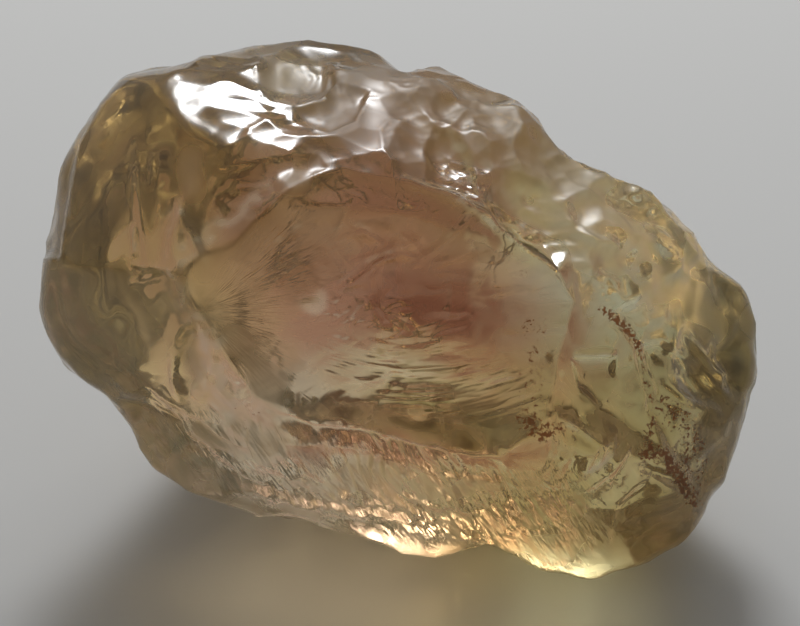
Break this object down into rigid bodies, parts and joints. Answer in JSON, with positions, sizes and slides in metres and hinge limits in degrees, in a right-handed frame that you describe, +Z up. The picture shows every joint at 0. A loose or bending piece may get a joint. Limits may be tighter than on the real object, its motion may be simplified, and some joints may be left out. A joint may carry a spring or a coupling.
{
  "type": "rough sunstone crystal",
  "caption": "Rough uncut chip of clear champagne to rose brown feldspar with shell-like broken faces, lying on a cleavage face.",
  "frame": {"origin": "middle of the crystal's box, at the level it rests on", "axes": "+X along its longest extent, +Z up as it lies on its cleavage face, -Y towards the side seen in the picture"},
  "size_m": [0.022, 0.0138, 0.0138],
  "materials": {
    "feldspar": "clear, with frosted breaks and brown stain in its cracks"
  },
  "bodies": {
    "root": {"sunstone": "feldspar"}
  },
  "joints": []
}
